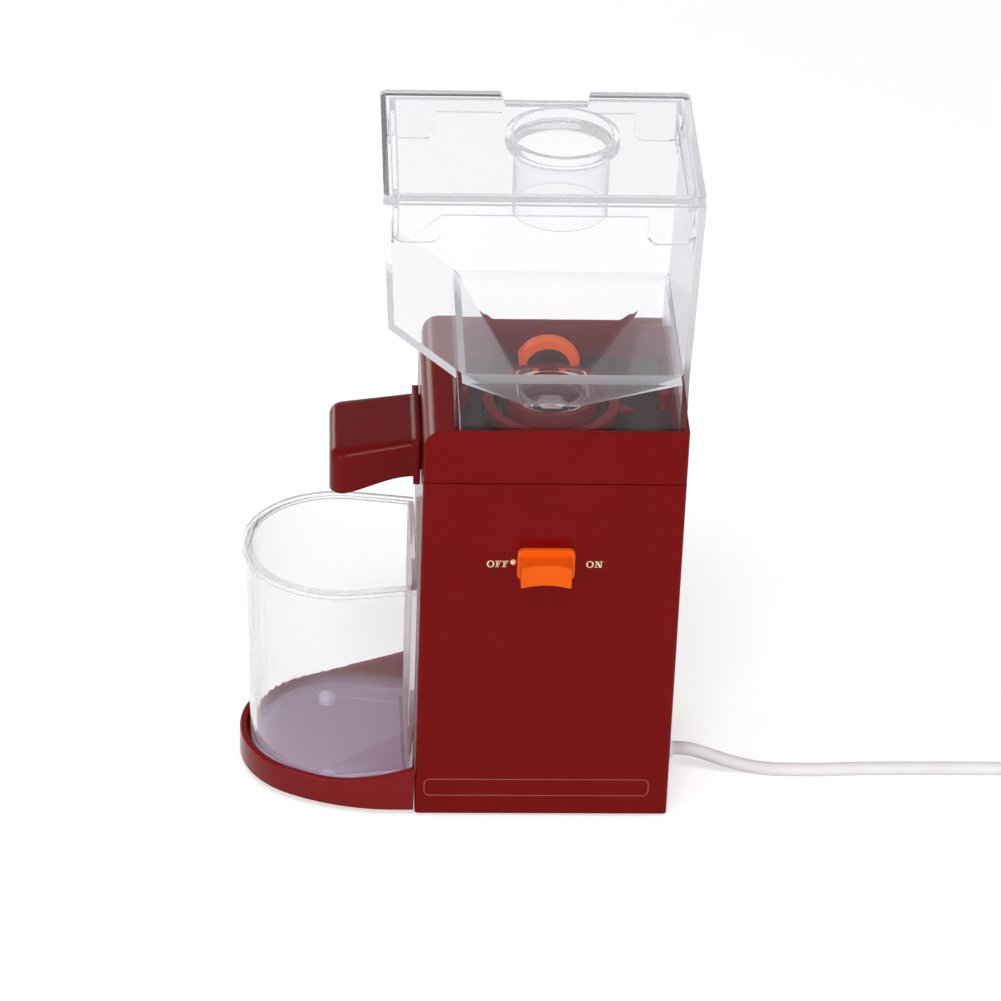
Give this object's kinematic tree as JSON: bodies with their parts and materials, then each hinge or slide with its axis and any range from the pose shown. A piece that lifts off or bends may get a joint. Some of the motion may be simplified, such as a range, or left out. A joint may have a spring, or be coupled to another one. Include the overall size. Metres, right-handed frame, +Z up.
{
  "type": "electric grain mill",
  "caption": "Upright electric grain mill with a red square body, clear lidded hopper, slide switch, side outlet chute and a clear catch cup on a tray.",
  "frame": {"origin": "on the floor under the middle of the machine's bounding box, cord and plug left out", "axes": "+Z up, -Y the front with the switch, -X the side with the chute and the cup"},
  "size_m": [0.4423, 0.1154, 0.2818],
  "materials": {
    "red_plastic": "glossy dark red",
    "dark_plastic": "matt black",
    "clear_plastic": "clear and polished",
    "orange_plastic": "satin orange",
    "white_plastic": "plain white",
    "rubber_black": "matt rubber",
    "cord_grey": "pale grey flexible plastic",
    "steel": "turned steel",
    "brass": "turned",
    "copper": "bare copper",
    "magnet": "sintered"
  },
  "bodies": {
    "housing": {"lower_housing": "red_plastic", "upper_housing": "red_plastic", "base_plate": "dark_plastic", "rubber_feet": "rubber_black", "cup_tray": "red_plastic", "tray_feet": "white_plastic", "housing_screws": "steel", "tray_screws": "steel", "deck_plate": "dark_plastic", "deck_screws": "steel", "chamber": "dark_plastic", "chamber_screws": "steel", "chamber_bush": "brass", "outlet_neck": "dark_plastic", "gear_plate": "steel", "plate_screws": "steel", "plate_bush": "brass", "motor_can": "steel", "motor_magnets": "magnet", "end_bell": "dark_plastic", "motor_bushes": "brass", "motor_screws": "steel", "brush_holders": "dark_plastic", "switch_box": "dark_plastic", "switch_dot": "white_plastic", "cord_gland": "cord_grey", "power_cord": "cord_grey", "cord_coil": "cord_grey", "coil_tie": "dark_plastic", "plug_body": "cord_grey", "plug_pins": "steel"},
    "knob": {"switch_knob": "orange_plastic"},
    "hopper": {"hopper": "clear_plastic"},
    "lid": {"lid": "clear_plastic"},
    "cup": {"cup": "clear_plastic"},
    "chute": {"chute": "red_plastic"},
    "ring": {"grind_ring": "red_plastic", "ring_loop": "orange_plastic", "throat_cup": "red_plastic", "burr_carrier": "dark_plastic", "upper_burr": "steel"},
    "mill": {"spindle": "steel", "lower_burr": "steel", "burr_nut": "steel", "sweeper": "dark_plastic", "drive_gear": "white_plastic"},
    "rotor": {"rotor_shaft": "steel", "armature": "steel", "windings": "copper", "commutator": "copper", "fan": "dark_plastic", "pinion": "brass"}
  },
  "joints": [
    {"name": "switch_slide", "type": "slide", "parent": "housing", "child": "knob", "axis": [1, 0, 0], "range_m": [0, 0.004]},
    {"name": "hopper_lift", "type": "slide", "parent": "housing", "child": "hopper", "axis": [0, 0, 1], "range_m": [0, 0.06]},
    {"name": "lid_lift", "type": "slide", "parent": "hopper", "child": "lid", "axis": [0, 0, 1], "range_m": [0, 0.045]},
    {"name": "cup_lift", "type": "slide", "parent": "housing", "child": "cup", "axis": [0, 0, 1], "range_m": [0, 0.03]},
    {"name": "chute_pull", "type": "slide", "parent": "housing", "child": "chute", "axis": [-1, 0, 0], "range_m": [0, 0.03]},
    {"name": "grind_turn", "type": "hinge", "parent": "housing", "child": "ring", "pos_m": [0.0343, 0.006, 0.163], "axis": [0, 0, 1], "range_deg": [-15, 15]},
    {"name": "rotor_spin", "type": "hinge", "parent": "housing", "child": "rotor", "pos_m": [0.0583, 0.006, 0.08], "axis": [0, 0, 1], "continuous": true},
    {"name": "burr_spin", "type": "hinge", "parent": "housing", "child": "mill", "pos_m": [0.0343, 0.006, 0.13], "axis": [0, 0, 1], "continuous": true}
  ],
  "couplings": [
    {"joint": "burr_spin", "follows": "rotor_spin", "ratio": -0.33333}
  ]
}
